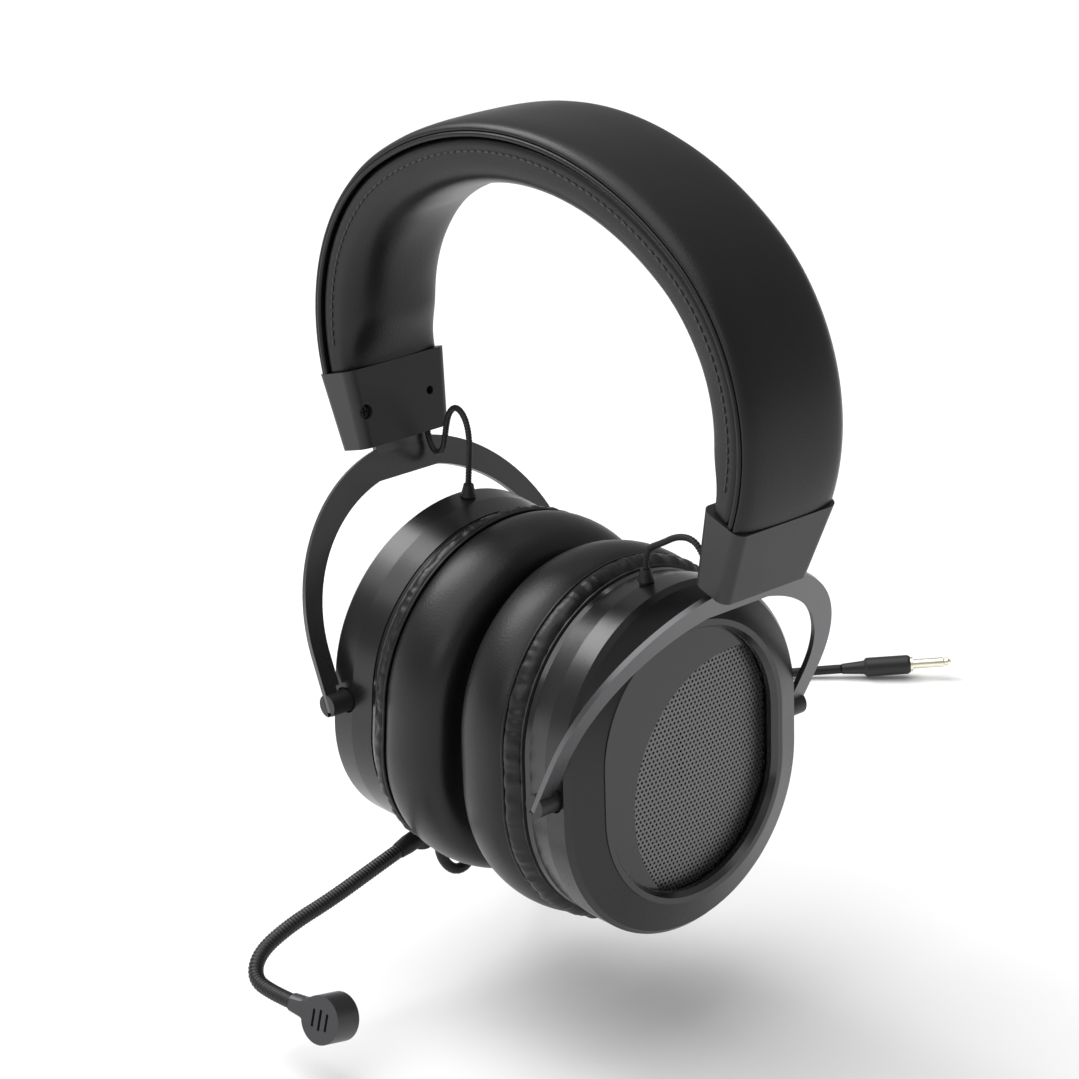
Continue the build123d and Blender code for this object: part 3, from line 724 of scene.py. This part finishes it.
def boom():
    """Gooseneck of close-wound ribs."""
    line = route_line(BOOM_ROUTE, 0.00027)
    neck = swept("mic_gooseneck", line, ribbed(BOOM_R, 0.0003, 0.00108), sides=18)
    dress(neck, "gooseneck_rubber")
    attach(neck, "microphone")
    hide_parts("mic_boom")


# ---------------------------------------------------------------- cable
CABLE_DROP = [
    (-0.0413, -0.0080, -0.2243), (-0.0403, -0.0040, -0.2249), (-0.0406, 0.0000, -0.2222),
    (-0.0444, 0.0050, -0.2205), (-0.0496, 0.0140, -0.2224), (-0.0560, 0.0270, -0.2284),
    (-0.0640, 0.0420, -0.2372), (-0.0740, 0.0600, -0.2466), (-0.0850, 0.0790, -0.2522),
    (-0.0920, 0.0980, CABLE_Z),
]
CABLE_END = [
    (-0.1310, 0.1700, CABLE_Z), (-0.1340, 0.1910, CABLE_Z), (-0.1270, 0.2120, CABLE_Z),
    (-0.1155, 0.2295, CABLE_Z + 0.0008), (-0.1065, 0.2396, FLOOR_Z + PLUG_R),
]
COIL_LEAVE = [(-0.1272, 0.1290, -0.2436), (-0.1292, 0.1440, -0.2498), (-0.1300, 0.1570, CABLE_Z)]


def coil_turns():
    """Turns wound clockwise in two columns and four layers; each steps across or up near its end."""
    points = []
    tighten = 0.5 + 0.5 * cos(pi / TURN_POINTS) ** 2
    for number in range(COIL_TURNS * TURN_POINTS):
        turn, at = divmod(number, TURN_POINTS)
        share = min(1.0, max(0.0, (at / TURN_POINTS - 0.7) / 0.3))
        ease = share * share * (3 - 2 * share)
        here = ((turn + 1) // 2 % 2, turn // 2)
        there = ((turn + 2) // 2 % 2, (turn + 1) // 2) if turn + 1 < COIL_TURNS else here
        column = here[0] + (there[0] - here[0]) * ease
        layer = here[1] + (there[1] - here[1]) * ease
        radius = (COIL_MIDDLE_R + CABLE_R - column * LAYER) / tighten
        angle = radians(-100) - 2 * pi * number / TURN_POINTS
        z = FLOOR_Z + TIE_T + CABLE_R + layer * LAYER
        points.append((COIL_PLACE[0] + radius * cos(angle), COIL_PLACE[1] + radius * sin(angle), z))
    return points


def cable():
    """Main cable from gland to plug, in three pieces: a part next to the cup, one that bends down to the
    surface, and the rest.
    """
    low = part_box("cable_gland")[0]
    seat = NODES["cable_gland"].data.vertices
    ring = [v.co for v in seat if v.co.z < low.z + 0.0005]
    leave = sum(ring, Vector()) / len(ring)
    down = Vector((-sin(CUP_TILT), 0, -cos(CUP_TILT)))
    start = [tuple(leave), tuple(leave + down * 0.005)]
    route = [*start, *CABLE_DROP, *coil_turns(), *COIL_LEAVE, *CABLE_END]
    line = route_line(route, 0.0012)
    step = line_length(line) / (len(line) - 1)
    first, second = round(CUP_STRETCH_END / step), round(FALL_END / step)
    cuts = {"cup": (0, first), "fall": (first, second), "rest": (second, len(line) - 1)}
    pieces = {}
    for name, (begin, end) in cuts.items():
        pieces[name] = swept(f"cable_{name}", line[begin:end + 1], plain(CABLE_R), sides=12)
        dress(pieces[name], "cable_rubber")
    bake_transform(pieces["cup"])
    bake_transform(pieces["fall"])
    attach(pieces["rest"], "headband")
    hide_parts("cable_drop")
    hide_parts("cable_coil", "cable_end")
    strap = cable_strap()


def cable_strap():
    """Hook-and-loop strap round the coil's turns."""
    centre = Vector((COIL_PLACE[0] + COIL_MIDDLE_R, COIL_PLACE[1], FLOOR_Z + TIE_T + COIL_HEIGHT / 2))
    half_width, half_height = COIL_WIDTH / 2 + TIE_T / 2, COIL_HEIGHT / 2 + TIE_T / 2
    rows = []
    for k in range(7):
        y = TIE_WIDTH * (k / 6 - 0.5)
        row = []
        for j in range(40):
            c, s = superellipse(2 * pi * j / 40, 0.4)
            row.append(centre + Vector((c * half_width, y, s * half_height)))
        rows.append(row)
    strap = skin("cable_strap", rows)
    thick = strap.modifiers.new("thickness", "SOLIDIFY")
    thick.thickness = TIE_T
    thick.offset = 0
    dress(strap, "tie_fabric")
    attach(strap, "headband")
    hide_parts("cable_tie")
    return strap


# ---------------------------------------------------------------- set
def make_camera():
    """The photograph's view; lengths across the picture take it to be 1079 by 1079."""
    azimuth, elevation, roll = radians(47.3), radians(21.8), radians(0.36)
    distance, focal, frame_size = 1.029, 3580.0, 1079.0
    aim = Vector((0, 0, -0.09))
    shift_x, shift_y = 565.2 - frame_size / 2, 491.6 - frame_size / 2
    back = Vector((sin(azimuth) * cos(elevation), -cos(azimuth) * cos(elevation), sin(elevation)))
    right = Vector((cos(azimuth), sin(azimuth), 0))
    up = back.cross(right)
    turned_right = right * cos(roll) + up * sin(roll)
    turned_up = up * cos(roll) - right * sin(roll)
    data = bpy.data.cameras.new("camera")
    data.sensor_width = 36
    data.lens = focal / frame_size * data.sensor_width
    data.clip_start = 0.05
    data.clip_end = 50
    camera = link(bpy.data.objects.new("camera", data))
    place = aim - turned_right * (shift_x * distance / focal) + turned_up * (shift_y * distance / focal)
    place += back * distance
    axes = Matrix((turned_right, turned_up, back)).transposed().to_4x4()
    camera.matrix_world = Matrix.Translation(place) @ axes
    SCENE.camera = camera


def soft_light(name, place, aim, size, energy):
    """A large area light turned to a point."""
    data = bpy.data.lights.new(name, "AREA")
    data.shape = "RECTANGLE"
    data.size, data.size_y = size
    data.energy = energy
    lamp = link(bpy.data.objects.new(name, data))
    lamp.location = place
    lamp.rotation_mode = "QUATERNION"
    lamp.rotation_quaternion = (Vector(aim) - Vector(place)).to_track_quat("-Z", "Y")


def make_set():
    """Plain pale floor, pale surroundings and soft light from above."""
    half = 9.0
    corners = [(x * half, y * half, FLOOR_Z) for x, y in ((-1, -1), (1, -1), (1, 1), (-1, 1))]
    floor = new_mesh("floor", corners, [(0, 1, 2, 3)])
    pale = material("floor", (0.86, 0.86, 0.86), 0.7, grain=0.004, bump=0.02, tint=1.01)
    floor.data.materials.append(pale)
    world = bpy.data.worlds.new("surroundings")
    world.use_nodes = True
    world.node_tree.nodes["Background"].inputs["Color"].default_value = (1, 1, 1, 1)
    world.node_tree.nodes["Background"].inputs["Strength"].default_value = 0.40
    SCENE.world = world
    SCENE.view_settings.view_transform = "Standard"
    sun = bpy.data.lights.new("sun", "SUN")
    sun.energy = 2.3
    sun.angle = radians(75)
    lamp = link(bpy.data.objects.new("sun", sun))
    lamp.rotation_euler = (radians(18), radians(-14), 0)
    middle = (0, 0, -0.12)
    soft_light("key", (-0.9, -0.25, 0.85), middle, (0.6, 0.8), 9.0)
    soft_light("front", (0.35, -1.3, 0.5), middle, (0.7, 0.5), 2.5)


make_camera()
make_set()
dress_cad_nodes()
cable()
for side_name in SIDES:
    link_lead(side_name)
boom()
headband_cover()
headband_piping()
headband_pad()
headband_stitches()
for side_name, side_sign in SIDES.items():
    ear_cushion(side_name, side_sign)
    cushion_skirt(side_name, side_sign)
    cushion_seams(side_name, side_sign)
    grille(side_name, side_sign)
